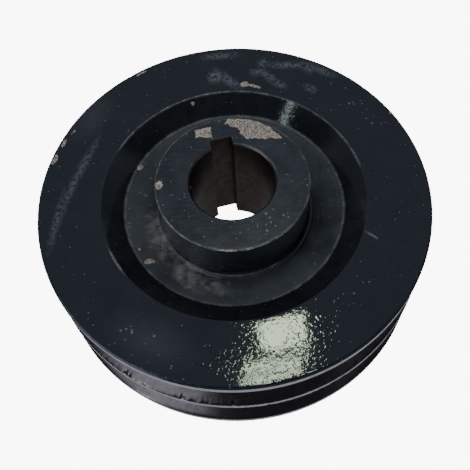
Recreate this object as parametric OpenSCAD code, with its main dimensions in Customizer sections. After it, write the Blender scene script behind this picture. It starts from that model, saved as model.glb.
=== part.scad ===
// Double-groove V belt pulley: a dished grey-iron wheel with a keyed hub and one grub screw.
// The origin is the middle of the rim's lower face, with +Z along the bore to the proud end of the hub.

/* [Grooves] */
// Diameter at which the belt's cords run
pitch_d = 132; // [125:1:190]
// Width of a groove at the pitch diameter
pitch_w = 14; // [13:0.5:15]
// Included angle between the walls of a groove
groove_angle = 34; // [32:1:38]
// Height of the lands above the pitch diameter
above_pitch = 4.2; // [4.2:0.1:5]
// Depth of the groove floor below the pitch diameter
below_pitch = 10.8; // [9:0.1:11]
// Distance between the middles of the two grooves
groove_pitch = 19; // [19:0.2:21]
// Distance from the middle of a groove to the rim's nearest face
groove_edge = 11.5; // [11.5:0.5:14]
// Chamfer between the rim's faces and its outer lands
rim_chamfer = 0.7; // [0.3:0.1:1.5]

/* [Dish] */
// Diameter of the recess where it meets the rim's upper face
recess_d = 95; // [92:1:98]
// Diameter at the foot of the recess's sloping wall, where the web begins
web_d = 80; // [72:1:84]
// Depth of the web's outer edge below the rim's upper face
web_edge_depth = 5.4; // [3:0.2:7]
// Depth of the web beside the hub, below the rim's upper face
web_depth = 9; // [8:0.2:12]
// Thickness of the web beside the hub
web_t = 12; // [8:0.5:14]
// Diameter of the lower recess at the web
lower_recess_d = 88; // [84:1:92]
// Radius of the fillets between the web, the hub and the rim
fillet_r = 1.5; // [0.5:0.1:2]

/* [Hub] */
// Outer diameter of the hub
hub_d = 54; // [50:1:58]
// Length of the hub
hub_len = 47; // [42:1:50]
// Height of the hub's upper face above the rim's upper face
hub_proud = 10; // [10:0.5:14]
// Chamfer on the hub's two outer edges
hub_chamfer = 0.3; // [0.3:0.1:1.5]
// Diameter of the shaft bore
bore_d = 30; // [24:0.5:32]
// Chamfer at both mouths of the bore
bore_chamfer = 0.5; // [0.2:0.1:1]

/* [Keyway] */
// Width of the keyway
key_w = 8; // [5:0.5:8]
// Distance from the keyway's floor to the far side of the bore
key_height = 33.3; // [32.5:0.1:35]
// Direction of the keyway around the bore, from +X
key_azimuth = 100; // [80:5:110]

/* [Grub screw] */
// Thread diameter of the grub screw
screw_d = 8; // [6:1:8]
// Length of the grub screw
screw_len = 10; // [8:0.5:10]
// Distance from the hub's upper face to the screw's axis
screw_drop = 7; // [6:0.5:8]
// Gap between the screw's tip and the bore, so that a shaft slides through
screw_gap = 0.5; // [0.3:0.1:1]
// Width across the flats of the hexagon socket
socket_af = 4; // [3:0.5:4]

/* [Hidden] */
$fn = 96;

cut = 1;                                              // how far a cutter runs past what it cuts
arc_steps = 5;                                        // straight pieces in each fillet
paint_black = [0.10, 0.11, 0.12];
machined_iron = [0.32, 0.30, 0.28];
black_oxide = [0.16, 0.16, 0.17];

rim_r = pitch_d / 2 + above_pitch;
floor_r = pitch_d / 2 - below_pitch;
rim_h = 2 * groove_edge + groove_pitch;
wall_slope = tan(groove_angle / 2);
mouth_half = pitch_w / 2 + above_pitch * wall_slope;  // half of a groove's width at the lands
floor_half = pitch_w / 2 - below_pitch * wall_slope;  // half of a groove's width at its floor
lower_groove_z = groove_edge;
upper_groove_z = groove_edge + groove_pitch;

recess_r = recess_d / 2;
web_r = web_d / 2;
lower_recess_r = lower_recess_d / 2;
web_edge_z = rim_h - web_edge_depth;
web_top_z = rim_h - web_depth;
web_base_z = web_top_z - web_t;

hub_r = hub_d / 2;
hub_top_z = rim_h + hub_proud;
hub_base_z = hub_top_z - hub_len;
bore_r = bore_d / 2;
key_floor_r = key_height - bore_r;

screw_z = hub_top_z - screw_drop;
screw_azimuth = key_azimuth + 90;
screw_clearance = 0.05;
screw_chamfer = 0.8;
socket_depth = 4;
cup_r = 2.2;                                          // radius of the cup point's rim
cup_depth = 1.2;

// Points along an arc about (x, y), from angle a0 to angle a1
function arc(x, y, r, a0, a1) =
    [for (i = [0 : arc_steps]) let (a = a0 + (a1 - a0) * i / arc_steps) [x + r * cos(a), y + r * sin(a)]];

// A ring whose section is the outline given as [radius, height] points
module ring(outline) {
    rotate_extrude() polygon(outline);
}

// Places its children on the screw's axis, with their +Z pointing outward from the bore
module on_screw_axis() {
    rotate([0, 0, screw_azimuth]) translate([0, 0, screw_z]) rotate([0, 90, 0]) children();
}

// Hub with the shaft bore, the keyway along its whole length and the tapped hole of the grub screw
module hub() {
    color(paint_black) difference() {
        ring([
            [0, hub_base_z],
            [hub_r - hub_chamfer, hub_base_z],
            [hub_r, hub_base_z + hub_chamfer],
            [hub_r, hub_top_z - hub_chamfer],
            [hub_r - hub_chamfer, hub_top_z],
            [0, hub_top_z]
        ]);
        translate([0, 0, hub_base_z - cut]) cylinder(r = bore_r, h = hub_len + 2 * cut);
        translate([0, 0, hub_top_z - bore_chamfer])
            cylinder(r1 = bore_r, r2 = bore_r + bore_chamfer + cut, h = bore_chamfer + cut);
        translate([0, 0, hub_base_z - cut])
            cylinder(r1 = bore_r + bore_chamfer + cut, r2 = bore_r, h = bore_chamfer + cut);
        rotate([0, 0, key_azimuth]) translate([0, -key_w / 2, hub_base_z - cut])
            cube([key_floor_r, key_w, hub_len + 2 * cut]);
        on_screw_axis() cylinder(r = screw_d / 2 + screw_clearance, h = hub_r + cut);
    }
}

// Web between the hub and the rim, its upper face falling towards the hub, with a fillet at the hub on both faces
module web() {
    color(paint_black) ring(concat(
        arc(hub_r + fillet_r, web_base_z - fillet_r, fillet_r, 180, 90),
        [[web_r, web_base_z], [web_r, web_edge_z]],
        arc(hub_r + fillet_r, web_top_z + fillet_r, fillet_r, 270, 180)
    ));
}

// Band behind the grooves: its outside is the groove floors, its inside the walls of the two recesses
module rim_band() {
    color(paint_black) ring(concat(
        [[recess_r, 0], [floor_r, 0], [floor_r, rim_h], [recess_r, rim_h], [web_r, web_edge_z], [web_r, web_base_z]],
        arc(lower_recess_r - fillet_r, web_base_z - fillet_r, fillet_r, 90, 0)
    ));
}

// Outer flange of the rim, drawn with its flat face downward at z = 0 and its groove wall above
module outer_flange() {
    land = groove_edge - mouth_half;
    ring([
        [floor_r, 0],
        [rim_r - rim_chamfer, 0],
        [rim_r, rim_chamfer],
        [rim_r, land],
        [floor_r, groove_edge - floor_half]
    ]);
}

// Flange above the upper groove, which carries the rim's upper face
module upper_flange() {
    color(paint_black) translate([0, 0, rim_h]) mirror([0, 0, 1]) outer_flange();
}

// Flange that divides the two grooves
module middle_flange() {
    color(machined_iron) ring([
        [floor_r, lower_groove_z + floor_half],
        [rim_r, lower_groove_z + mouth_half],
        [rim_r, upper_groove_z - mouth_half],
        [floor_r, upper_groove_z - floor_half]
    ]);
}

// Flange below the lower groove, which carries the face that the pulley stands on
module lower_flange() {
    color(paint_black) outer_flange();
}

// Grub screw with a hexagon socket outside and a cup point towards the bore
module grub_screw() {
    tip = bore_r + screw_gap;
    socket_r = socket_af / 2 / cos(30);
    color(black_oxide) on_screw_axis() translate([0, 0, tip]) difference() {
        ring([
            [0, 0],
            [screw_d / 2 - screw_chamfer, 0],
            [screw_d / 2, screw_chamfer],
            [screw_d / 2, screw_len - screw_chamfer / 2],
            [screw_d / 2 - screw_chamfer / 2, screw_len],
            [0, screw_len]
        ]);
        translate([0, 0, screw_len - socket_depth]) cylinder(r = socket_r, h = socket_depth + cut, $fn = 6);
        translate([0, 0, -cup_depth]) cylinder(r1 = 2 * cup_r, r2 = 0, h = 2 * cup_depth);
    }
}

hub();
web();
rim_band();
upper_flange();
middle_flange();
lower_flange();
grub_screw();
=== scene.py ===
"""Looks of the double-groove V belt pulley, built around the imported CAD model.

The real wheel is one iron casting, so its pieces share one casting texture and meet without a visible seam.
Outlines are in millimetres as (radius, height), in the part's own frame; objects are in metres.
"""
import math

import bmesh
import bpy
import numpy as np
from mathutils import Matrix, Vector


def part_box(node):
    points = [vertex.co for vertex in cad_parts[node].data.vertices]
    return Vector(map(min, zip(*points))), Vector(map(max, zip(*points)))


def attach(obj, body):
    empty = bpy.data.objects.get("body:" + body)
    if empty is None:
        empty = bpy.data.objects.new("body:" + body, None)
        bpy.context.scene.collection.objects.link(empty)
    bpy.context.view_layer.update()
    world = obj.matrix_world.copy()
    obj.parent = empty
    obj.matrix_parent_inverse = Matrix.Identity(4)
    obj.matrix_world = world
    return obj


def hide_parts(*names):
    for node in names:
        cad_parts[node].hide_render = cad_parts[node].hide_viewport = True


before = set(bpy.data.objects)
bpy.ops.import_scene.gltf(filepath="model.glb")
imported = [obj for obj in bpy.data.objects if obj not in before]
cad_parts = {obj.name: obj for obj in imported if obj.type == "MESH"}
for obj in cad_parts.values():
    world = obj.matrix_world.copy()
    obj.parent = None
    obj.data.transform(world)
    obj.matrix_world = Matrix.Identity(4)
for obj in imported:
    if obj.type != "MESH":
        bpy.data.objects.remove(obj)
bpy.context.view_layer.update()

MM = 0.001

# ---------------------------------------------------------------------------
# Dimensions, in millimetres
# ---------------------------------------------------------------------------
RIM_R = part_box("upper_flange")[1].x / MM
RIM_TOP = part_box("upper_flange")[1].z / MM
FLOOR_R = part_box("rim_band")[1].x / MM
HUB_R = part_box("hub")[1].x / MM
HUB_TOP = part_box("hub")[1].z / MM
HUB_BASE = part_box("hub")[0].z / MM
WEB_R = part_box("web")[1].x / MM
MID_ROOT_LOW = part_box("middle_flange")[0].z / MM
MID_ROOT_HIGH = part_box("middle_flange")[1].z / MM
LOW_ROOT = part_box("lower_flange")[1].z / MM
HIGH_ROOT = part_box("upper_flange")[0].z / MM

WALL_SLOPE = math.tan(math.radians(17))      # a groove wall's fall per millimetre of radius
RIM_CHAMFER = 0.7
RECESS_R = 47.5
WEB_EDGE_Z = RIM_TOP - 5.4
WEB_TOP_Z = RIM_TOP - 9.0
WEB_BASE_Z = WEB_TOP_Z - 12.0
LOWER_RECESS_R = 44.0
WEB_FILLET = 1.5
HUB_CHAMFER = 0.3
BORE_R = 15.0
BORE_CHAMFER = 0.5
KEY_HALF = 4.0
KEY_FLOOR = 18.3
KEY_AZIMUTH = math.radians(100)
SCREW_AZIMUTH = math.radians(190)
SCREW_Z = HUB_TOP - 7.0
SCREW_TIP = BORE_R + 0.5
SCREW_R = 4.0
SCREW_LEN = 10.0
SCREW_HOLE_R = 4.06
GROOVE_EDGE = 11.5                           # from a rim face to the middle of its groove
MOUTH_HALF = 7.0 + 4.2 * WALL_SLOPE
THREAD_PITCH = 1.25
SOCKET_DEPTH = 4.0
SOCKET_HALF = 2.0                            # half of the hexagon socket's width across its flats

HIDDEN = 9                                   # the finish of edges that lie against a neighbour
FINE = 1080                                  # steps round the rim where edge damage shows
STEPS = 720                                  # steps round everything else
HIDDEN_GRID = 9.0                            # spacing of points along edges inside the casting
UNDIVIDED = 30.0                             # spacing that leaves an edge of the web in one piece
WHITE = 9.0                                  # glow of the floor and the room in the camera's eye


# ---------------------------------------------------------------------------
# Noise, on arrays of points
# ---------------------------------------------------------------------------
def lattice(ix, iy, iz, seed):
    """A repeatable value from 0 to 1 at each whole-number point."""
    h = (ix * 374761393 + iy * 668265263 + iz * 2147483647 + seed * 144665) & 0xFFFFFFFF
    h = ((h ^ (h >> 13)) * 1274126177) & 0xFFFFFFFF
    h = h ^ (h >> 16)
    return (h & 0xFFFF) / 65535.0


def value_noise(p, seed=0):
    """Smooth noise from 0 to 1 at each row of p, with features about one unit across."""
    base = np.floor(p).astype(np.int64)
    f = p - base
    f = f * f * (3 - 2 * f)
    total = 0
    for dx in (0, 1):
        for dy in (0, 1):
            for dz in (0, 1):
                weight = (np.where(dx, f[:, 0], 1 - f[:, 0])
                          * np.where(dy, f[:, 1], 1 - f[:, 1])
                          * np.where(dz, f[:, 2], 1 - f[:, 2]))
                total = total + weight * lattice(base[:, 0] + dx, base[:, 1] + dy, base[:, 2] + dz, seed)
    return total


def fractal(p, octaves=3, seed=0):
    """Noise from 0 to 1 with finer layers added."""
    total, scale, reach = 0, 1.0, 0
    for i in range(octaves):
        total = total + value_noise(p / scale, seed + i) * scale
        reach += scale
        scale *= 0.5
    return total / reach


def smooth(low, high, x):
    """0 below low, 1 above high, and a smooth step between."""
    t = np.clip((x - low) / (high - low), 0, 1)
    return t * t * (3 - 2 * t)


# ---------------------------------------------------------------------------
# Turned shapes
# ---------------------------------------------------------------------------
def corner(point, before, after, radius, steps=4):
    """The points of an arc that rounds the corner between two neighbouring points."""
    p, a, b = (np.array(v, float) for v in (point, before, after))
    to_a = (a - p) / np.linalg.norm(a - p)
    to_b = (b - p) / np.linalg.norm(b - p)
    half = math.acos(float(np.clip(to_a @ to_b, -1, 1))) / 2
    reach = radius / math.tan(half)
    centre = p + (to_a + to_b) / np.linalg.norm(to_a + to_b) * radius / math.sin(half)
    start, end = p + to_a * reach - centre, p + to_b * reach - centre
    turn = math.acos(float(np.clip(start @ end / radius ** 2, -1, 1)))
    sign = 1 if start[0] * end[1] - start[1] * end[0] > 0 else -1
    points = []
    for i in range(steps + 1):
        c, s = math.cos(sign * turn * i / steps), math.sin(sign * turn * i / steps)
        points.append(tuple(centre + np.array([start[0] * c - start[1] * s, start[0] * s + start[1] * c])))
    return points


def section(outline):
    """Turns rows of (radius, height, rounding, finish, spacing) into ring points and the finish after each.

    finish is the material index of the edge to the next corner, and spacing the longest step along it."""
    count = len(outline)
    arcs = []
    for i, (r, z, rounding, _, _) in enumerate(outline):
        if rounding:
            arcs.append(corner((r, z), outline[i - 1][:2], outline[(i + 1) % count][:2], rounding))
        else:
            arcs.append([(r, z)])
    rings, finishes = [], []
    for i, (_, _, _, finish, spacing) in enumerate(outline):
        before = outline[i - 1][3]
        for point in arcs[i]:
            rings.append(np.array(point, float))
            finishes.append(before if finish == HIDDEN else finish)
        finishes[-1] = finish
        gap = np.array(arcs[(i + 1) % count][0]) - rings[-1]
        start = rings[-1]
        steps = max(1, math.ceil(np.linalg.norm(gap) / spacing - 1e-6))
        for k in range(1, steps):
            rings.append(start + gap * k / steps)
            finishes.append(finish)
    return np.array(rings), np.array(finishes)


def turns_left(rings):
    """True when an outline runs anticlockwise, with its inside on the left."""
    x, z = rings[:, 0], rings[:, 1]
    return float(np.sum(x * np.roll(z, -1) - np.roll(x, -1) * z)) > 0


def outward(rings, finishes):
    """Each ring point's outward direction in its section, from the edges beside it that show."""
    edge = np.roll(rings, -1, 0) - rings
    edge = edge / np.maximum(np.linalg.norm(edge, axis=1, keepdims=True), 1e-9)
    side = np.stack([edge[:, 1], -edge[:, 0]], 1) * (1 if turns_left(rings) else -1)
    side = side * (finishes != HIDDEN)[:, None]
    total = side + np.roll(side, 1, 0)
    length = np.linalg.norm(total, axis=1, keepdims=True)
    return np.where(length > 1e-6, total / np.maximum(length, 1e-9), 0)


def mesh_object(name, points_mm, quads, finishes, materials):
    """A mesh piece from points in millimetres, with its edges of over 28 degrees kept sharp."""
    quads = np.asarray(quads, np.int32)
    mesh = bpy.data.meshes.new(name)
    mesh.vertices.add(len(points_mm))
    mesh.vertices.foreach_set("co", (np.asarray(points_mm) * MM).astype(np.float32).ravel())
    mesh.loops.add(quads.size)
    mesh.loops.foreach_set("vertex_index", quads.ravel())
    mesh.polygons.add(len(quads))
    mesh.polygons.foreach_set("loop_start", np.arange(0, quads.size, 4, dtype=np.int32))
    for material in materials:
        mesh.materials.append(material)
    mesh.polygons.foreach_set("material_index", np.asarray(finishes, np.int32))
    mesh.update(calc_edges=True)
    mesh.validate()
    obj = bpy.data.objects.new(name, mesh)
    bpy.context.scene.collection.objects.link(obj)
    soften(obj)
    return obj


def soften(obj):
    """Smooth shading, with edges of over 28 degrees kept sharp."""
    obj.data.polygons.foreach_set("use_smooth", np.ones(len(obj.data.polygons), bool))
    obj.data.set_sharp_from_angle(angle=math.radians(28))
    obj.data.update()


def lathe(name, outline, materials, angles=STEPS, shape=None):
    """Turns a closed outline about the Z axis, at a number of equal steps or at given angles.

    shape(points, outward directions) may move the points, in millimetres."""
    rings, finishes = section(outline)
    angle = np.arange(angles) * 2 * math.pi / angles if isinstance(angles, int) else angles
    cos, sin = np.cos(angle)[None, :], np.sin(angle)[None, :]

    def spin(pairs):
        r, z = pairs[:, :1], pairs[:, 1:]
        return np.stack([r * cos, r * sin, z + 0 * cos], 2).reshape(-1, 3)

    points = spin(rings)
    if shape:
        points = shape(points, spin(outward(rings, finishes)))
    steps, count = len(angle), len(rings)
    ring, step = np.meshgrid(np.arange(count), np.arange(steps), indexing="ij")
    after, turn = (ring + 1) % count, (step + 1) % steps
    here, there = ring * steps, after * steps
    quads = np.stack([here + step, here + turn, there + turn, there + step], 2).reshape(-1, 4)
    if not turns_left(rings):
        quads = quads[:, ::-1]
    shown = np.where(finishes == HIDDEN, 0, finishes)
    return mesh_object(name, points, quads, np.repeat(shown, steps), materials)


def store(obj, name, values):
    """Keeps one number at each vertex, for the materials to read."""
    layer = obj.data.attributes.new(name, "FLOAT", "POINT")
    layer.data.foreach_set("value", np.asarray(values, np.float32))


def points_of(obj):
    """The vertices of a piece, in millimetres."""
    co = np.zeros(len(obj.data.vertices) * 3, np.float32)
    obj.data.vertices.foreach_get("co", co)
    return co.reshape(-1, 3).astype(float) / MM


# ---------------------------------------------------------------------------
# Where the paint is chipped, scuffed or dusty, and where glints, sparkle and light are painted on, as places
# on the part in millimetres
# ---------------------------------------------------------------------------
def in_outline(p, outline):
    """How far inside an outline of (x, y) points each point is; negative outside."""
    q = p[:, :2]
    v = np.array(outline, float)
    w = np.roll(v, -1, 0)
    dist = np.full(len(q), 1e9)
    inside = np.zeros(len(q), bool)
    for a, b in zip(v, w):
        e = b - a
        t = np.clip(((q - a) @ e) / (e @ e), 0, 1)
        dist = np.minimum(dist, np.linalg.norm(q - a - t[:, None] * e, axis=1))
        crosses = (a[1] > q[:, 1]) != (b[1] > q[:, 1])
        with np.errstate(divide="ignore", invalid="ignore"):
            at = a[0] + (q[:, 1] - a[1]) * e[0] / e[1]
        inside ^= crosses & (q[:, 0] < at)
    return np.where(inside, dist, -dist)


def in_spot(p, x, y, long_r, short_r, turn_deg=0):
    """How far inside an ellipse each point is; negative outside."""
    c, s = math.cos(math.radians(turn_deg)), math.sin(math.radians(turn_deg))
    dx, dy = p[:, 0] - x, p[:, 1] - y
    u, v = (dx * c + dy * s) / long_r, (-dx * s + dy * c) / short_r
    return (1 - np.sqrt(u * u + v * v)) * short_r


def field(depth, soft):
    """Turns a depth inside a mark into a value from 0 to 1 that passes 0.5 on its outline."""
    return np.clip(0.5 + depth / (2 * soft), 0, 1)


# HUB_BARE, HUB_CHIP and SCRATCH are outlines of (x, y) points, and BUBBLES holds centres. Each row of the
# others is an ellipse: its x, y, two radii and the direction of the first radius in degrees from +X.
HUB_BARE = [(0, 26.8), (8.8, 26), (15, 21.8), (18.8, 16.4), (6, 17.4), (4, 19.7), (3.5, 22.4), (-1.5, 24.6)]
HUB_CHIP = [(-12.4, 22.8), (-6.2, 23.7), (-6.1, 19), (-11.8, 19.4)]
HUB_SPOTS = [(-25.3, 0.6, 1.7, 1.3, 80), (-25.9, 5.5, 0.7, 0.3, 90), (2.5, 25.6, 3.2, 0.7, -5),
             (-4.0, -26.6, 4.6, 0.35, 172), (3.8, -26.7, 1.8, 0.4, 8)]
RIM_SCUFFS = [(-3.6, 55.6, 2.6, 2.3, 60), (1.4, 53.4, 4.2, 1.3, -48), (12.9, 56.3, 1.5, 1.1, 0),
              (17.0, 54.0, 2.2, 1.0, -50), (15.4, 60.6, 1.3, 1.0, 60), (26.0, 58.6, 5.4, 0.9, -5),
              (33.6, 56.2, 1.6, 1.3, -60), (21.2, 49.4, 1.5, 0.9, -40), (-1.5, 66.0, 3.5, 0.9, 0),
              (33.0, 46.2, 1.2, 0.7, -40), (38.5, 54.5, 2.6, 0.8, -35), (-63.0, -5.0, 3.6, 0.5, 80),
              (-58.2, 8.5, 4.2, 0.5, 72), (-54.3, 18.0, 3.8, 0.5, 66)]
RIM_BARE = [(7.6, 50.6, 1.7, 1.4, 0), (11.4, 49.4, 2.8, 0.7, -25), (-65.0, 21.4, 2.2, 0.9, 72),
            (-62.0, 28.6, 1.9, 0.8, 66), (-58.6, 33.6, 1.0, 0.4, 60), (61.8, 31.6, 0.6, 0.4, 0),
            (-33.0, 59.8, 2.0, 0.35, 30)]
RIM_HAZE = [(-52.0, 40.0, 6.0, 3.5, 60), (-30.0, -52.0, 9.0, 5.0, -30)]
# Grey film on the web: partly dust haze, partly painted light that makes the web's near side lighter.
WEB_HAZE_AND_PAINTED_LIGHT = [(4.0, -36.0, 36.0, 14.0, 0), (-33.0, -12.0, 16.0, 9.0, 110)]
WEB_BARE = [(-34.2, 19.2, 1.2, 0.8, 60), (-31.0, -20.4, 1.8, 1.0, 20), (-34.3, -15.6, 0.6, 0.6, 0),
            (-13.1, 44.0, 0.7, 0.6, 20)]
WEB_DUST = [(-17.5, -25.5, 7.5, 4.0, 125), (-10.0, -30.5, 5.5, 2.2, 160), (-27.0, -11.0, 9.0, 3.0, 105)]
# Places where the light specks grow thicker: raised paint nibs, and painted sparkle that stands for
# highlights broken up by the rippled paint.
NIBS_AND_SPARKLE = [(49.5, 36.0, 13.0, 5.0, -52), (-31.0, -52.0, 14.0, 5.0, -32), (13.0, -17.0, 9.0, 5.5, 35),
        (-34.0, 2.0, 12.0, 4.0, 88), (38.0, -42.0, 9.0, 5.0, 30)]
SCRATCH = [(44.6, -17.8), (48.3, -20.9), (48.2, -21.2), (44.4, -18.1)]
BUBBLES = [(-13.0, -61.0), (25.0, -48.0), (-30.0, -47.0), (-21.0, -58.5)]


def spots(p, marks, soft, ragged=0):
    """The strongest of several spots at each point, their outlines moved about by ragged millimetres."""
    best = np.zeros(len(p))
    for mark in marks:
        best = np.maximum(best, field(in_spot(p, *mark) + ragged, soft))
    return best


def edge_noise(p, size, seed):
    """Noise from -1 to 1 with features about size millimetres across."""
    return fractal(p / size, 3, seed) * 2 - 1


def on_circle(p, radius, height, width, start_deg=0, end_deg=360):
    """1 on a circle round the bore's axis between two directions, falling to 0 width millimetres away."""
    r, angle = np.hypot(p[:, 0], p[:, 1]), np.degrees(np.arctan2(p[:, 1], p[:, 0])) % 360
    near = 1 - np.hypot(r - radius, p[:, 2] - height) / width
    ends = smooth(start_deg - 4, start_deg + 4, angle) * smooth(end_deg + 4, end_deg - 4, angle)
    return np.clip(near, 0, 1) * (1 if end_deg - start_deg >= 360 else ends)


def paint_marks(obj):
    """Stores where the paint is gone, scuffed or dusty, where edges are worn or carry painted glints and
    highlight lines, where painted sparkle gathers, and where the web's near side is painted lighter, on one
    painted piece.
    """
    p = points_of(obj)
    ragged = edge_noise(p, 1.3, 11)
    on_top = smooth(RIM_TOP - 1.2, RIM_TOP - 0.4, p[:, 2]) * smooth(HUB_TOP - 2, HUB_TOP - 6, p[:, 2])
    on_hub = smooth(HUB_TOP - 0.9, HUB_TOP - 0.2, p[:, 2])
    r = np.hypot(p[:, 0], p[:, 1])
    inside = smooth(RECESS_R + 1, RECESS_R - 1, r) * smooth(28, 32, p[:, 2])
    in_dish = inside * (1 - on_hub) * smooth(HUB_R - 1, HUB_R - 0.2, r)
    hub_bare = np.maximum(field(in_outline(p, HUB_BARE) + 0.7 * ragged, 0.9),
                          field(in_outline(p, HUB_CHIP) + 0.35 * ragged, 0.7))
    bare = np.maximum.reduce([
        on_hub * np.maximum(hub_bare, spots(p, HUB_SPOTS, 0.6, 0.4 * ragged)),
        on_top * spots(p, RIM_BARE, 0.6, 0.5 * ragged),
        in_dish * spots(p, WEB_BARE, 0.5, 0.7 * ragged)])
    store(obj, "bare", bare)
    store(obj, "scuff", on_top * spots(p, RIM_SCUFFS, 1.6, 0.6 * ragged))
    angle = np.degrees(np.arctan2(p[:, 1], p[:, 0])) % 360
    on_side = smooth(HUB_R - 0.3, HUB_R - 0.1, r) * smooth(HUB_R + 0.3, HUB_R + 0.1, r)
    on_side = on_side * smooth(33, 36, p[:, 2])
    side_dust = on_side * smooth(190, 200, angle) * smooth(262, 238, angle)
    store(obj, "haze_and_painted_light", np.maximum.reduce([
        0.35 * on_top * spots(p, RIM_HAZE, 5.0),
        # The web's grey film: partly dust haze, partly painted light lifting its near side.
        0.55 * in_dish * (1 - on_side) * smooth(WEB_R + 0.1, WEB_R - 0.6, r) * spots(p, WEB_HAZE_AND_PAINTED_LIGHT, 6.0),
        0.22 * side_dust]))
    store(obj, "clean", on_side * (1 - side_dust))
    # More light specks here: paint nibs, and painted sparkle highlights.
    store(obj, "nibs_and_painted_sparkle", spots(p, NIBS_AND_SPARKLE, 3.0) - 4 * on_side)
    store(obj, "dust", in_dish * (1 - on_side) * spots(p, WEB_DUST, 2.0, 1.8 * ragged))
    patchy = 0.45 + 0.9 * smooth(0.35, 0.65, fractal(p / 2.5, 3, 17))
    # Lines along edges: the hub's top edge is partly rubbed paint and partly a painted glint; the web's edge
    # gets a lighter line; the recess's far edge (12 to 150 degrees) gets a painted highlight, with a
    # brighter stretch at 203 to 214 degrees; the bore's chamfer (5 to 92 degrees) gets a painted glint; the
    # fillet at the hub's base (206 to 300 degrees) gets a painted highlight line; the scratch is real wear.
    wear_and_painted_glints = np.maximum.reduce([
        0.9 * on_circle(p, HUB_R - 0.1, HUB_TOP - 0.1, 0.55),
        0.7 * on_circle(p, WEB_R - 0.2, WEB_EDGE_Z, 0.7),
        0.8 * on_circle(p, RECESS_R + 0.1, RIM_TOP, 0.5, 12, 150),
        1.7 * on_circle(p, RECESS_R + 0.1, RIM_TOP, 0.45, 203, 214),
        1.0 * on_circle(p, BORE_R + BORE_CHAMFER, HUB_TOP, 0.5, 5, 92),
        1.1 * on_circle(p, HUB_R + 0.45, WEB_TOP_Z + 0.6, 0.42, 206, 300),
        1.2 * field(in_outline(p, SCRATCH), 0.35) * on_top])
    store(obj, "wear_and_painted_glints", np.clip(wear_and_painted_glints * patchy, 0, 1))


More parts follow.
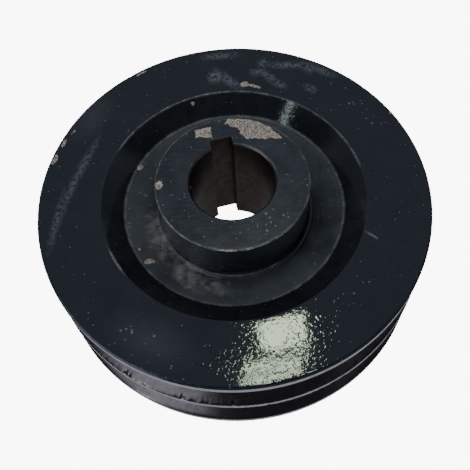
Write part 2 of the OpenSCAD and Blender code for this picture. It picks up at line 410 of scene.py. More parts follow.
# ---------------------------------------------------------------------------
# Material building
# ---------------------------------------------------------------------------
class Recipe:
    """A Principled material with short calls for the nodes that feed it."""

    def __init__(self, name, **constants):
        self.material = bpy.data.materials.new(name)
        self.material.use_nodes = True
        self.tree = self.material.node_tree
        self.tree.nodes.clear()
        self.shader = self.add("ShaderNodeBsdfPrincipled")
        output = self.add("ShaderNodeOutputMaterial")
        self.tree.links.new(self.shader.outputs[0], output.inputs[0])
        for socket, value in constants.items():
            self.shader.inputs[socket.replace("_", " ")].default_value = value
        coordinates = self.add("ShaderNodeTexCoord")
        scale = self.add("ShaderNodeVectorMath")
        scale.operation = "SCALE"
        scale.inputs["Scale"].default_value = 1 / MM
        self.tree.links.new(coordinates.outputs["Object"], scale.inputs[0])
        self.place = scale.outputs[0]                      # position on the part, in millimetres

    def add(self, kind):
        return self.tree.nodes.new(kind)

    def put(self, value, socket):
        """Links an output to a socket, or writes a plain value there."""
        if isinstance(value, bpy.types.NodeSocket):
            self.tree.links.new(value, socket)
        else:
            socket.default_value = value

    def math(self, operation, a, b=0.0):
        node = self.add("ShaderNodeMath")
        node.operation = operation
        self.put(a, node.inputs[0])
        self.put(b, node.inputs[1])
        return node.outputs[0]

    def times(self, a, b):
        return self.math("MULTIPLY", a, b)

    def noise(self, size, detail=2.0, rough=0.5, stretch=None):
        """Noise from 0 to 1 with features about size millimetres across."""
        node = self.add("ShaderNodeTexNoise")
        node.inputs["Scale"].default_value = 1 / size
        node.inputs["Detail"].default_value = detail
        node.inputs["Roughness"].default_value = rough
        source = self.place
        if stretch:
            squeeze = self.add("ShaderNodeVectorMath")
            squeeze.operation = "MULTIPLY"
            squeeze.inputs[1].default_value = stretch
            self.put(source, squeeze.inputs[0])
            source = squeeze.outputs[0]
        self.put(source, node.inputs["Vector"])
        return node.outputs["Fac"]

    def cells(self, size):
        """Distance, in cell widths, to the nearest of scattered points, and that point's random value."""
        node = self.add("ShaderNodeTexVoronoi")
        node.inputs["Scale"].default_value = 1 / size
        self.put(self.place, node.inputs["Vector"])
        value = self.add("ShaderNodeSeparateColor")
        self.put(node.outputs["Color"], value.inputs[0])
        return node.outputs["Distance"], value.outputs[0]

    def step(self, x, low, high):
        """0 below low, 1 above high; the other way round when low is the larger."""
        node = self.add("ShaderNodeMapRange")
        node.interpolation_type = "SMOOTHSTEP"
        self.put(x, node.inputs["Value"])
        node.inputs["From Min"].default_value = min(low, high)
        node.inputs["From Max"].default_value = max(low, high)
        node.inputs["To Min"].default_value = 0.0 if low < high else 1.0
        node.inputs["To Max"].default_value = 1.0 if low < high else 0.0
        return node.outputs["Result"]

    def between(self, x, low, high):
        """Maps 0 to 1 onto low to high."""
        node = self.add("ShaderNodeMapRange")
        self.put(x, node.inputs["Value"])
        node.inputs["To Min"].default_value = low
        node.inputs["To Max"].default_value = high
        return node.outputs["Result"]

    def mix(self, amount, a, b):
        """Blends two colours."""
        node = self.add("ShaderNodeMix")
        node.data_type = "RGBA"
        self.put(amount, node.inputs[0])
        self.put(rgba(a), node.inputs[6])
        self.put(rgba(b), node.inputs[7])
        return node.outputs[2]

    def blend(self, amount, a, b):
        """Blends two numbers."""
        node = self.add("ShaderNodeMix")
        self.put(amount, node.inputs[0])
        self.put(a, node.inputs[2])
        self.put(b, node.inputs[3])
        return node.outputs[0]

    def mark(self, name):
        """A number stored at the vertices."""
        node = self.add("ShaderNodeAttribute")
        node.attribute_name = name
        return node.outputs["Fac"]

    def radius(self):
        """Distance from the bore's axis, in millimetres, and the height."""
        parts = self.add("ShaderNodeSeparateXYZ")
        self.put(self.place, parts.inputs[0])
        across = self.times(parts.outputs[0], parts.outputs[0])
        along = self.times(parts.outputs[1], parts.outputs[1])
        return self.math("SQRT", self.math("ADD", across, along)), parts.outputs[2]

    def rings(self, along, size, detail=2.0):
        """Noise that changes only along one length, as turning marks do."""
        node = self.add("ShaderNodeTexNoise")
        node.noise_dimensions = "1D"
        node.inputs["Scale"].default_value = 1 / size
        node.inputs["Detail"].default_value = detail
        self.put(along, node.inputs["W"])
        return node.outputs["Fac"]

    def bump(self, height, depth_mm, below=None):
        """Raises the surface by height times depth_mm."""
        node = self.add("ShaderNodeBump")
        node.inputs["Strength"].default_value = 1.0
        node.inputs["Distance"].default_value = depth_mm * MM
        self.put(height, node.inputs["Height"])
        if below is not None:
            self.put(below, node.inputs["Normal"])
        return node.outputs[0]

    def set(self, socket, value):
        self.put(value, self.shader.inputs[socket])


def rgba(colour):
    """A colour with its alpha, or a socket unchanged."""
    if isinstance(colour, bpy.types.NodeSocket):
        return colour
    return (*colour, 1.0)


ENAMEL = (0.0075, 0.0090, 0.0130)
IRON_BARE = (0.95, 0.74, 0.57)
IRON_DARK = (0.24, 0.165, 0.125)
HAZE_GREY_AND_PAINTED_LIGHT = (0.150, 0.150, 0.150)
DUST_BROWN = (0.480, 0.410, 0.360)
SMEAR = (0.100, 0.105, 0.110)
SCUFF_GREY = (0.25, 0.255, 0.26)
SPECK_AND_SPARKLE = (0.40, 0.40, 0.38)
WORN_EDGE_AND_GLINT = (0.34, 0.32, 0.29)


def enamel(name, film_colour, film_amount, rough, film_rough, peel, grit, specks, smears, fillet_gloss=None):
    """Black enamel on cast iron.

    film_amount is how much dust film lies on it, rough its gloss and film_rough what the film adds to that.
    peel is the depth of its orange peel and grit that of the cast skin that shows through, in millimetres.
    specks gives the spacing, size and strength of light specks, which are dust and, where the nibs mark
    thickens them, painted sparkle highlights; smears gives the strength of greasy streaks.
    fillet_gloss is the roughness of the clean fillet at the hub, on the web only."""
    m = Recipe(name, Specular_IOR_Level=0.5)
    radius, _ = m.radius()
    ragged = m.times(m.math("SUBTRACT", m.noise(0.45, 3.0, 0.65), 0.5), 0.55)
    bare = m.step(m.math("ADD", m.mark("bare"), ragged), 0.49, 0.56)
    scuff = m.times(m.mark("scuff"), m.step(m.noise(1.4, 3.0, 0.6), 0.36, 0.54))
    film = m.times(m.between(m.step(m.noise(8.0, 4.0, 0.65), 0.32, 0.72), 0.35, 1.0), film_amount)
    film = m.times(film, m.math("SUBTRACT", 1.0, m.times(m.mark("clean"), 0.85)))
    if fillet_gloss:
        past_fillet = m.step(radius, HUB_R + WEB_FILLET - 0.1, HUB_R + WEB_FILLET + 1.0)
        film = m.times(film, m.between(m.step(m.rings(radius, 0.9, 3.0), 0.40, 0.75), 0.8, 1.1))
        film = m.times(film, past_fillet)
        rough = m.blend(past_fillet, fillet_gloss, rough)
    # Grey film: dust haze, and on the web's near side partly painted light that lifts it.
    haze_and_painted_light = m.times(m.mark("haze_and_painted_light"), m.between(m.noise(5.0, 4.0, 0.6), 0.5, 1.5))
    dust = m.times(m.mark("dust"), m.step(m.noise(3.0, 4.0, 0.65), 0.28, 0.66))
    # Edge lines: partly rubbed paint, partly painted glints and highlight lines.
    wear_and_painted_glints = m.times(m.mark("wear_and_painted_glints"), m.step(m.noise(0.7, 2.0, 0.6), 0.25, 0.55))
    spacing, size, strength = specks
    distance, pick = m.cells(spacing)
    # Light specks: dust specks everywhere, and painted sparkle highlights where the nibs mark widens them.
    reach = m.math("ADD", m.between(pick, -0.12, size), m.times(m.mark("nibs_and_painted_sparkle"), 0.12))
    speck_and_sparkle = m.step(m.math("SUBTRACT", distance, reach), 0.02, -0.02)
    smear = m.step(m.noise(2.2, 4.0, 0.65, stretch=(0.5, 2.4, 1.0)), 0.50, 0.78)

    colour = m.mix(film, ENAMEL, film_colour)
    for amount, layer in (
            (m.times(smear, smears), SMEAR),
            (haze_and_painted_light, HAZE_GREY_AND_PAINTED_LIGHT),
            (m.times(scuff, 0.85), SCUFF_GREY),
            (dust, DUST_BROWN),
            (m.times(speck_and_sparkle, strength), SPECK_AND_SPARKLE),
            (wear_and_painted_glints, WORN_EDGE_AND_GLINT)):
        colour = m.mix(amount, colour, layer)
    grain = m.noise(0.45, 3.0, 0.7)
    iron = m.mix(m.step(grain, 0.40, 0.58), IRON_DARK, IRON_BARE)
    m.set("Base Color", m.mix(bare, colour, iron))
    m.set("Metallic", m.times(bare, 0.15))
    gloss = m.math("ADD", rough, m.times(film, film_rough))
    gloss = m.blend(m.math("MAXIMUM", m.times(scuff, 0.7), dust), gloss, 0.62)
    m.set("Roughness", m.blend(bare, gloss, 0.50))

    patch = m.between(m.step(m.noise(9.0, 2.0, 0.5), 0.35, 0.68), 0.5, 1.5)
    orange_peel = m.times(m.math("SUBTRACT", m.noise(1.5, 2.0, 0.5), 0.5), patch)
    surface = m.bump(orange_peel, peel * 0.40)
    dimples = m.step(m.noise(1.2, 1.0, 0.5), 0.50, 0.75)
    surface = m.bump(m.times(dimples, patch), peel * 0.40, surface)
    surface = m.bump(m.noise(0.38, 2.0, 0.6), grit, surface)
    surface = m.bump(speck_and_sparkle, 0.04, surface)
    surface = m.bump(m.times(bare, m.between(grain, -1.0, -0.55)), 0.11, surface)
    m.set("Normal", surface)
    return m.material


def turned(name, colour, stain, rough, ring_size, ring_depth, lengthwise):
    """Machined iron with turning marks. lengthwise puts the marks along the height instead of the radius."""
    m = Recipe(name, Metallic=1.0)
    radius, height = m.radius()
    along = height if lengthwise else radius
    fine = m.rings(along, ring_size, 3.0)
    blotch = m.noise(3.5, 4.0, 0.65)
    m.set("Base Color", m.mix(m.step(blotch, 0.32, 0.70), colour, stain))
    m.set("Roughness", m.between(m.noise(1.6, 3.0, 0.6), rough - 0.07, rough + 0.12))
    surface = m.bump(fine, ring_depth)
    surface = m.bump(m.noise(0.30, 2.0, 0.6), ring_depth * 0.7, surface)
    m.set("Normal", surface)
    return m.material


GLOSS = enamel(
    "glossy_enamel", film_colour=(0.036, 0.039, 0.045), film_amount=0.34, rough=0.03, film_rough=0.03,
    peel=0.022, grit=0.0006, specks=(1.8, 0.16, 0.50), smears=0.10)
HUB_PAINT = enamel(
    "worn_hub_enamel", film_colour=(0.058, 0.061, 0.066), film_amount=0.70, rough=0.16, film_rough=0.20,
    peel=0.020, grit=0.008, specks=(1.5, 0.20, 0.80), smears=0.6)
WEB_PAINT = enamel(
    "web_enamel", film_colour=(0.100, 0.102, 0.104), film_amount=0.75, rough=0.30, film_rough=0.12,
    peel=0.014, grit=0.008, specks=(1.9, 0.17, 0.55), smears=0.15, fillet_gloss=0.07)
WALL_PAINT = enamel(
    "recess_wall_enamel", film_colour=(0.046, 0.044, 0.044), film_amount=0.60, rough=0.06, film_rough=0.06,
    peel=0.024, grit=0.004, specks=(2.1, 0.15, 0.30), smears=0.0)
GROOVE = turned(
    "oiled_groove_iron", colour=(0.178, 0.152, 0.140), stain=(0.142, 0.116, 0.106), rough=0.16,
    ring_size=0.22, ring_depth=0.004, lengthwise=False)
LAND = turned(
    "bright_land_iron", colour=(0.74, 0.67, 0.70), stain=(0.52, 0.46, 0.48), rough=0.26,
    ring_size=0.16, ring_depth=0.006, lengthwise=True)
BORE = turned(
    "bored_iron", colour=(0.135, 0.115, 0.108), stain=(0.085, 0.062, 0.056), rough=0.30,
    ring_size=0.30, ring_depth=0.010, lengthwise=True)
SCREW_STEEL = turned(
    "black_oxide_steel", colour=(0.060, 0.062, 0.068), stain=(0.040, 0.040, 0.044), rough=0.30,
    ring_size=0.20, ring_depth=0.004, lengthwise=False)


# ---------------------------------------------------------------------------
# The casting's pieces
# ---------------------------------------------------------------------------
def waviness(p, n):
    """Lets a cast face wander inward by up to 0.05 mm, as a casting's skin does under its paint."""
    sink = 0.05 * fractal(p / 11.0, 2, 5)
    return p - n * sink[:, None]


def nicked_edge(p, n, centre_r, centre_z, reach, depth, seed):
    """Eats small nicks into an edge that runs round the part at a radius and height."""
    q = p.copy()
    r = np.hypot(p[:, 0], p[:, 1])
    near = np.exp(-((r - centre_r) ** 2 + (p[:, 2] - centre_z) ** 2) / (2 * reach ** 2))
    ring = np.stack([p[:, 0], p[:, 1], np.zeros(len(p))], 1)
    large = smooth(0.66, 0.86, fractal(ring / 2.6, 3, seed))
    small = smooth(0.45, 0.9, fractal(ring / 0.9, 2, seed + 7))
    q -= n * (near * (large + 0.25 * small) * depth)[:, None]
    return q


def chipped_sector(p, first_deg):
    """1 in the short stretches of the rim where its edge took knocks, the longest of them at first_deg."""
    angle = np.degrees(np.arctan2(p[:, 1], p[:, 0])) % 360
    total = np.zeros(len(p))
    for middle, reach in ((first_deg, 8), (119, 4), (38, 5)):
        total = np.maximum(total, smooth(reach, reach * 0.6, np.abs(angle - middle)))
    return total


def faced(p, n, height):
    """Makes the points that lie on a flat cast face wander, and leaves the rest."""
    on_face = np.abs(p[:, 2] - height) < 0.01
    return np.where(on_face[:, None], waviness(p, n), p)


def blistered(p, height):
    """Raises a few burst bubbles in the paint of a face that looks up: a ring with a pit in it."""
    lift = np.zeros(len(p))
    for x, y in BUBBLES:
        away = np.hypot(p[:, 0] - x, p[:, 1] - y)
        lift += 0.035 * np.exp(-((away - 0.6) / 0.25) ** 2) - 0.05 * np.exp(-(away / 0.35) ** 2)
    q = p.copy()
    q[:, 2] += lift * (np.abs(p[:, 2] - height) < 0.1)
    return q


def build_rim_flange(name, face_z, root_z, up, angles, seed, chipped_deg):
    """Outer flange of the rim: up is 1 where its flat face looks up and -1 where it looks down.

    seed sets where its edge is nicked, and chipped_deg the direction of its largest damage."""
    outline = [
        (FLOOR_R, face_z, 0, 0, 0.3 if up > 0 else 1.0),
        (RIM_R - RIM_CHAMFER, face_z, 0.8, 0, 0.35),
        (RIM_R, face_z - up * RIM_CHAMFER, 0.08, 1, 0.4),
        (RIM_R, face_z - up * (GROOVE_EDGE - MOUTH_HALF), 0.12, 2, 1.2),
        (FLOOR_R, root_z, 0, HIDDEN, HIDDEN_GRID)]

    def shape(p, n):
        damage = chipped_sector(p, chipped_deg)
        p = nicked_edge(p, n, RIM_R - 0.4, face_z - up * 0.3, 0.5, 0.12 + 0.7 * damage, seed)
        p = faced(p, n, face_z)
        return blistered(p, face_z) if up > 0 else p

    obj = lathe(name, outline, [GLOSS, LAND, GROOVE], angles, shape)
    paint_marks(obj)
    return obj


def build_middle_flange():
    """Flange between the grooves, with one larger notch in the upper edge of its land."""
    low, high = GROOVE_EDGE + MOUTH_HALF, RIM_TOP - GROOVE_EDGE - MOUTH_HALF
    outline = [
        (FLOOR_R, MID_ROOT_LOW, 0, 1, 1.2),
        (RIM_R, low, 0.12, 0, 0.4),
        (RIM_R, high, 0.12, 1, 1.2),
        (FLOOR_R, MID_ROOT_HIGH, 0, HIDDEN, HIDDEN_GRID)]
    notch_azimuth = math.radians(252)
    notch = np.array([RIM_R * math.cos(notch_azimuth), RIM_R * math.sin(notch_azimuth), high])

    def shape(p, n):
        p = nicked_edge(p, n, RIM_R, high, 0.3, 0.35, 31)
        p = nicked_edge(p, n, RIM_R, low, 0.3, 0.35, 32)
        bite = smooth(1.3, 0.4, np.linalg.norm(p - notch, axis=1) + 0.3 * edge_noise(p, 0.8, 3))
        return p - n * (bite * 0.8)[:, None]

    return lathe("middle_flange_turned", outline, [LAND, GROOVE], FINE, shape)


def build_rim_band():
    """Band behind the grooves, with the walls of both recesses inside and the groove floors outside."""
    centre_r, centre_z = LOWER_RECESS_R - WEB_FILLET, WEB_BASE_Z - WEB_FILLET
    fillet = [(centre_r + WEB_FILLET * math.sin(a), centre_z + WEB_FILLET * math.cos(a), 0, 1, 1.0)
              for a in np.linspace(0, math.pi / 2, 5)]
    outline = [
        (RECESS_R, 0, 0.6, 0, 1.0),
        (FLOOR_R, 0, 0, HIDDEN, HIDDEN_GRID),
        (FLOOR_R, LOW_ROOT, 0, 2, 1.2),
        (FLOOR_R, MID_ROOT_LOW, 0, HIDDEN, HIDDEN_GRID),
        (FLOOR_R, MID_ROOT_HIGH, 0, 2, 1.2),
        (FLOOR_R, HIGH_ROOT, 0, HIDDEN, HIDDEN_GRID),
        (FLOOR_R, RIM_TOP, 0, 0, 0.4),
        (RECESS_R, RIM_TOP, 0.6, 1, 0.6),
        (WEB_R, WEB_EDGE_Z, 0, HIDDEN, HIDDEN_GRID),
        (WEB_R, WEB_BASE_Z, 0, 1, 1.2)] + fillet

    def shape(p, n):
        r = np.hypot(p[:, 0], p[:, 1])
        on_wall = (r < RECESS_R - 0.3) & (p[:, 2] > WEB_BASE_Z + 1)
        p = np.where(on_wall[:, None], waviness(p, n), p)
        p = faced(p, n, 0)
        return blistered(faced(p, n, RIM_TOP), RIM_TOP)

    obj = lathe("rim_band_cast", outline, [GLOSS, WALL_PAINT, GROOVE], STEPS, shape)
    paint_marks(obj)
    return obj


def build_web():
    """Web between the hub and the rim, its upper face falling towards the hub."""
    quarter = np.linspace(0, math.pi / 2, 9)
    centre_r = HUB_R + WEB_FILLET
    under = [(centre_r - WEB_FILLET * math.cos(a), WEB_BASE_Z - WEB_FILLET * (1 - math.sin(a)), 0, 0, 1.0)
             for a in quarter]
    over = [(centre_r - WEB_FILLET * math.sin(a), WEB_TOP_Z + WEB_FILLET * (1 - math.cos(a)), 0, 0, 0.5)
            for a in quarter]
    over[-1] = (HUB_R, WEB_TOP_Z + WEB_FILLET, 0, HIDDEN, UNDIVIDED)
    outline = under + [(WEB_R, WEB_BASE_Z, 0, HIDDEN, UNDIVIDED), (WEB_R, WEB_EDGE_Z, 0, 0, 0.6)] + over

    def shape(p, n):
        clear_of_hub = smooth(HUB_R + 1.6, HUB_R + 4, np.hypot(p[:, 0], p[:, 1]))
        return waviness(p, n * clear_of_hub[:, None])

    obj = lathe("web_cast", outline, [WEB_PAINT], STEPS, shape)
    paint_marks(obj)
    return obj


def hub_angles():
    """Angles round the hub with a point exactly at each corner of the keyway."""
    corners = [KEY_AZIMUTH + sign * math.asin(KEY_HALF / r)
               for sign in (-1, 1) for r in (BORE_R, BORE_R + BORE_CHAMFER, math.hypot(KEY_FLOOR, KEY_HALF))]
    regular = (np.arange(STEPS) + 0.5) * 2 * math.pi / STEPS
    gap = np.min(np.abs(regular[:, None] - np.array(corners)[None, :]), 1)
    return np.sort(np.concatenate([regular[gap > math.radians(0.15)], corners]))


def bore_reach(angle):
    """How far the hole reaches from the axis in each direction, keyway included."""
    away = np.abs((angle - KEY_AZIMUTH + math.pi) % (2 * math.pi) - math.pi)
    floor_corner = math.asin(KEY_HALF / math.hypot(KEY_FLOOR, KEY_HALF))
    mouth_corner = math.asin(KEY_HALF / BORE_R)
    floor = KEY_FLOOR / np.cos(np.minimum(away, floor_corner))
    side = KEY_HALF / np.sin(np.maximum(away, 1e-3))
    return np.where(away <= floor_corner + 1e-9, floor, np.where(away < mouth_corner - 1e-9, side, BORE_R))


def build_hub():
    """Hub with its keyed bore, and a tapped hole for the grub screw."""
    blend_r = 22.0                               # beyond this radius the end faces ignore the keyway
    outline = [
        (BORE_R, HUB_BASE + BORE_CHAMFER, 0, 1, 0.6),
        (BORE_R + BORE_CHAMFER, HUB_BASE, 0, 0, 1.2),
        (HUB_R - HUB_CHAMFER, HUB_BASE, 0.2, 0, 0.4),
        (HUB_R, HUB_BASE + HUB_CHAMFER, 0.2, 0, 2.0),
        (HUB_R, WEB_TOP_Z, 0, 0, 0.7),
        (HUB_R, HUB_TOP - HUB_CHAMFER, 0.2, 0, 0.3),
        (HUB_R - HUB_CHAMFER, HUB_TOP, 0.2, 0, 0.35),
        (BORE_R + BORE_CHAMFER, HUB_TOP, 0, 1, 0.3),
        (BORE_R, HUB_TOP - BORE_CHAMFER, 0, 1, 4.0)]

    def shape(p, n):
        r, angle = np.hypot(p[:, 0], p[:, 1]), np.arctan2(p[:, 1], p[:, 0])
        start = np.minimum(r, BORE_R + BORE_CHAMFER)
        hole = np.maximum(bore_reach(angle), start)
        t = np.clip((r - start) / (blend_r - start), 0, 1)
        moved = np.where(r < blend_r, hole + (blend_r - hole) * t, r)
        q = np.stack([moved * np.cos(angle), moved * np.sin(angle), p[:, 2]], 1)
        q = nicked_edge(q, n, HUB_R - 0.15, HUB_TOP - 0.15, 0.4, 0.22, 41)
        skin = smooth(BORE_R + 0.7, BORE_R + 2.5, moved)
        return waviness(q, n * (0.6 * skin)[:, None])

    obj = lathe("hub_cast", outline, [HUB_PAINT, BORE], hub_angles(), shape)
    cut_hole(obj, thread_cutter())
    paint_marks(obj)
    return obj


# ---------------------------------------------------------------------------
# The grub screw and its tapped hole, along their own axis
# ---------------------------------------------------------------------------
def on_screw_axis(points):
    """Moves points from (across, across, along) the screw's axis to the part's frame, in millimetres."""
    c, s = math.cos(SCREW_AZIMUTH), math.sin(SCREW_AZIMUTH)
    x, y, along = points[:, 0], points[:, 1], points[:, 2]
    return np.stack([along * c - y * s, along * s + y * c, SCREW_Z - x], 1)


def thread(along, angle, root, crest):
    """Radius of a right-hand thread at each place along and round its axis."""
    turn = (along / THREAD_PITCH - angle / (2 * math.pi)) % 1.0
    flank = np.clip(1.3 * np.abs(2 * turn - 1) - 0.15, 0, 1)
    return root + (crest - root) * flank


def stack(name, rings, material):
    """A closed piece from a list of (along, radius at each angle), which starts and ends on the axis."""
    steps = len(rings[0][1])
    angle = np.arange(steps) * 2 * math.pi / steps
    points = np.concatenate([np.stack([r * np.cos(angle), r * np.sin(angle), np.full(steps, along)], 1)
                             for along, r in rings])
    ring, step = np.meshgrid(np.arange(len(rings) - 1), np.arange(steps), indexing="ij")
    turn = (step + 1) % steps
    here, there = ring * steps, (ring + 1) * steps
    quads = np.stack([here + step, here + turn, there + turn, there + step], 2).reshape(-1, 4)
    obj = mesh_object(name, on_screw_axis(points), quads, np.zeros(len(quads), int), [material])
    whole = bmesh.new()
    whole.from_mesh(obj.data)
    bmesh.ops.remove_doubles(whole, verts=whole.verts, dist=1e-7)
    bmesh.ops.dissolve_degenerate(whole, edges=whole.edges, dist=1e-8)
    bmesh.ops.recalc_face_normals(whole, faces=whole.faces)
    whole.to_mesh(obj.data)
    whole.free()
    soften(obj)
    return obj


SCREW_STEPS = 72
SCREW_ANGLE = np.arange(SCREW_STEPS) * 2 * math.pi / SCREW_STEPS


def thread_cutter():
    """The shape of the tapped hole, from inside the bore to outside the hub, clear of the screw."""
    def ring(along):
        r = thread(along, SCREW_ANGLE, SCREW_HOLE_R, SCREW_HOLE_R + 0.45)
        flare = max(0.0, along - (HUB_R - 0.5)) + max(0.0, BORE_R + 0.3 - along)
        return (along, np.maximum(r, SCREW_HOLE_R + 0.2 + flare))

    on_axis = np.zeros(SCREW_STEPS)
    along = np.arange(BORE_R - 2.5, HUB_R + 1.0, 0.11)
    closed = [(along[0], on_axis)] + [ring(a) for a in along] + [(along[-1], on_axis)]
    return stack("tapped_hole_cutter", closed, BORE)


def triangulate(obj):
    """Splits every face into triangles, which leaves none that is bent or folded."""
    whole = bmesh.new()
    whole.from_mesh(obj.data)
    bmesh.ops.triangulate(whole, faces=whole.faces)
    whole.to_mesh(obj.data)
    whole.free()


def cut_hole(obj, cutter):
    """Takes the cutter's shape out of a piece, for good."""
    triangulate(obj)
    triangulate(cutter)
    modifier = obj.modifiers.new("hole", "BOOLEAN")
    modifier.operation = "DIFFERENCE"
    modifier.solver = "EXACT"
    modifier.object = cutter
    modifier.material_mode = "TRANSFER"
    graph = bpy.context.evaluated_depsgraph_get()
    mesh = bpy.data.meshes.new_from_object(obj.evaluated_get(graph))
    obj.modifiers.clear()
    obj.data = mesh
    bpy.data.objects.remove(cutter)
    triangulate(obj)
    soften(obj)


def build_grub_screw():
    """Threaded grub screw with a cup point inside and a hexagon socket outside."""
    end = SCREW_TIP + SCREW_LEN
    crest, root = SCREW_R - 0.02, SCREW_R - 0.75
    hexagon = SOCKET_HALF / np.cos((SCREW_ANGLE + math.pi / 6) % (math.pi / 3) - math.pi / 6)
    whole_turn = np.ones(SCREW_STEPS)
    rings = [(SCREW_TIP + 1.2, 0 * whole_turn), (SCREW_TIP, 2.2 * whole_turn), (SCREW_TIP, 2.6 * whole_turn)]
    for along in np.arange(SCREW_TIP, end + 1e-6, 0.1):
        limit = min(2.9 + (along - SCREW_TIP) * 1.2, crest, 3.3 + (end - along) * 1.2)
        rings.append((along, np.minimum(thread(along, SCREW_ANGLE, root, crest), limit)))
    rings += [
        (end, 2.65 * whole_turn),
        (end - 0.3, hexagon),
        (end - SOCKET_DEPTH, hexagon),
        (end - SOCKET_DEPTH - 0.7, 0 * whole_turn)]
    return stack("grub_screw_threaded", rings, SCREW_STEEL)


# ---------------------------------------------------------------------------
# Assembly
# ---------------------------------------------------------------------------
PIECES = [
    (build_hub(), "wheel", "hub", "painted_hub"),
    (build_web(), "wheel", "web", "painted_web"),
    (build_rim_band(), "wheel", "rim_band", "painted_rim"),
    (build_rim_flange("upper_flange_turned", RIM_TOP, HIGH_ROOT, 1, FINE, 21, 157), "wheel", "upper_flange",
     "painted_flange"),
    (build_middle_flange(), "wheel", "middle_flange", "machined_groove"),
    (build_rim_flange("lower_flange_turned", 0.0, LOW_ROOT, -1, STEPS, 22, 166), "wheel", "lower_flange",
     "painted_flange"),
    (build_grub_screw(), "screw", "grub_screw", "screw_steel")]
for piece, body, node_name, slot_name in PIECES:
    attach(piece, body)
    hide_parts(node_name)


# ---------------------------------------------------------------------------
# Floor, light and camera
# ---------------------------------------------------------------------------
def glow_for_camera(tree, surface_socket):
    """Adds a white glow that only the camera sees, so that it doesn't light the part."""
    path = tree.nodes.new("ShaderNodeLightPath")
    glow = tree.nodes.new("ShaderNodeEmission")
    seen = tree.nodes.new("ShaderNodeMixShader")
    glow.inputs["Strength"].default_value = WHITE
    tree.links.new(path.outputs["Is Camera Ray"], seen.inputs[0])
    tree.links.new(surface_socket, seen.inputs[1])
    tree.links.new(glow.outputs[0], seen.inputs[2])
    return seen.outputs[0]


def build_floor():
    """Pale floor just under the part."""
    half, drop = 3.0, 0.0001
    corners = [(-half, -half, -drop), (half, -half, -drop), (half, half, -drop), (-half, half, -drop)]
    mesh = bpy.data.meshes.new("floor")
    mesh.from_pydata(corners, [], [(0, 1, 2, 3)])
    obj = bpy.data.objects.new("floor", mesh)
    bpy.context.scene.collection.objects.link(obj)
    material = bpy.data.materials.new("pale_floor")
    material.use_nodes = True
    tree = material.node_tree
    shader = tree.nodes["Principled BSDF"]
    shader.inputs["Base Color"].default_value = (0.80, 0.80, 0.80, 1)
    shader.inputs["Roughness"].default_value = 0.8
    shader.inputs["Emission Color"].default_value = (1.0, 0.95, 0.97, 1)
    shader.inputs["Emission Strength"].default_value = 0.16
    output = tree.nodes["Material Output"]
    tree.links.new(glow_for_camera(tree, shader.outputs[0]), output.inputs["Surface"])
    mesh.materials.append(material)


def build_world():
    """A dim room: a bluish ceiling, dark over the viewer, and paler stretches around it and on the walls."""
    world = bpy.data.worlds.new("room")
    bpy.context.scene.world = world
    world.use_nodes = True
    tree = world.node_tree
    tree.nodes.clear()
    direction = tree.nodes.new("ShaderNodeTexCoord")
    parts = tree.nodes.new("ShaderNodeSeparateXYZ")
    tree.links.new(direction.outputs["Generated"], parts.inputs[0])
    x, y, z = parts.outputs

    def step(socket, low, high, bottom=0.0, top=1.0):
        node = tree.nodes.new("ShaderNodeMapRange")
        node.interpolation_type = "SMOOTHSTEP"
        tree.links.new(socket, node.inputs["Value"])
        node.inputs["From Min"].default_value = low
        node.inputs["From Max"].default_value = high
        node.inputs["To Min"].default_value = bottom
        node.inputs["To Max"].default_value = top
        return node.outputs["Result"]

    def combine(operation, values):
        total = values[0]
        for value in values[1:]:
            node = tree.nodes.new("ShaderNodeMath")
            node.operation = operation
            tree.links.new(total, node.inputs[0])
            tree.links.new(value, node.inputs[1])
            total = node.outputs[0]
        return total

    # Each region is a product of smooth steps: (part of the direction, from, to, value before, value after)
    regions = {
        "ceiling": [(z, 0.45, 0.80, 0.15, 0.42), (y, -0.06, 0.12, 0.16, 1.0)],
        "left of the viewer": [(x, -0.19, -0.17, 1.35, 0.0), (y, -0.02, 0.08, 1.0, 0.0), (z, 0.76, 0.90),
                               (y, -0.36, -0.32)],
        "right of the viewer": [(x, 0.37, 0.40), (x, 0.46, 0.50, 0.11, 0.0), (y, -0.05, 0.0, 1.0, 0.0),
                                (z, 0.80, 0.86)],
        "low on the left": [(x, -0.65, -0.50, 1.6, 0.0), (y, -0.05, 0.02, 1.0, 0.0), (z, 0.05, 0.12),
                            (z, 0.48, 0.56, 1.0, 0.0)],
        "near wall": [(y, -0.15, 0.0, 0.30, 0.0), (z, 0.02, 0.10), (z, 0.45, 0.60, 1.0, 0.0)],
        "far wall": [(y, 0.55, 0.75, 0.0, 0.30), (z, 0.02, 0.10), (z, 0.45, 0.60, 1.0, 0.0)]}
    brightness = [combine("MULTIPLY", [step(*bound) for bound in bounds]) for bounds in regions.values()]
    room = tree.nodes.new("ShaderNodeBackground")
    room.inputs["Color"].default_value = (0.80, 0.92, 1.16, 1)
    tree.links.new(combine("ADD", brightness), room.inputs["Strength"])
    output = tree.nodes.new("ShaderNodeOutputWorld")
    tree.links.new(glow_for_camera(tree, room.outputs[0]), output.inputs["Surface"])


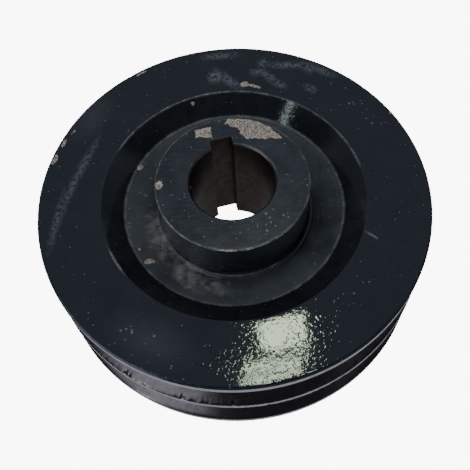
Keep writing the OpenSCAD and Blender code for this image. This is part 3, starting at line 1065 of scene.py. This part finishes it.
def area_light(name, position, target, width, height, radiance, colour, turn=0.0):
    """A rectangular light of a given radiance, aimed at a target and turned about its aim, in metres."""
    light = bpy.data.lights.new(name, "AREA")
    light.shape = "RECTANGLE"
    light.size = width
    light.size_y = height
    light.energy = radiance * math.pi * width * height
    light.color = colour
    obj = bpy.data.objects.new(name, light)
    bpy.context.scene.collection.objects.link(obj)
    obj.location = position
    obj.rotation_euler = (Vector(target) - Vector(position)).to_track_quat("-Z", "Y").to_euler()
    obj.rotation_euler.rotate_axis("Z", turn)


def build_lights():
    """A far window of three panes beyond the part, and a smaller one to the left of the viewer.

    Each pane is its distance down the window, its shift to the right, its width, height and radiance."""
    aim = (0.01, -0.055, RIM_TOP * MM)
    centre = Vector((0.064, 0.321, 1.177))
    down = Vector((-0.02, -0.108, 0.033)).normalized()
    panes = {
        "window_upper_pane": (-0.034, 0.010, 0.094, 0.060, 25.0),
        "window_middle_pane": (0.029, -0.003, 0.118, 0.017, 21.0),
        "window_lower_pane": (0.054, -0.005, 0.124, 0.019, 19.0)}
    for name, (offset, shift, width, height, radiance) in panes.items():
        place = centre + down * offset + Vector((shift, 0, 0))
        area_light(name, place, aim, width, height, radiance, (0.82, 1.0, 0.70), math.radians(12))
    area_light("side_window", (-0.63, -0.42, 0.97), (0.02, 0.039, 0.0395), 0.055, 0.15, 7.0,
               (0.80, 1.0, 0.92))


def build_camera():
    """Camera over the near edge, looking a little below the middle of the rim's face, slightly rolled."""
    elevation = math.radians(61.9)
    roll = math.radians(-4.17)
    distance, aim_below, aim_right = 0.2511, 0.01393, -0.0004
    forward = Vector((0, math.cos(elevation), -math.sin(elevation)))
    right = Vector((1, 0, 0))
    up = Vector((0, math.sin(elevation), math.cos(elevation)))
    aim = Vector((0, 0, RIM_TOP * MM)) - up * aim_below + right * aim_right
    side = right * math.cos(roll) + up * math.sin(roll)
    top = up * math.cos(roll) - right * math.sin(roll)
    place = Matrix((side, top, -forward)).transposed().to_4x4()
    place.translation = aim - forward * distance
    data = bpy.data.cameras.new("camera")
    data.sensor_width = 36.0
    data.lens = 53.85
    data.clip_start = 0.01
    data.clip_end = 50.0
    camera = bpy.data.objects.new("camera", data)
    camera.matrix_world = place
    bpy.context.scene.collection.objects.link(camera)
    bpy.context.scene.camera = camera


build_floor()
build_world()
build_lights()
build_camera()
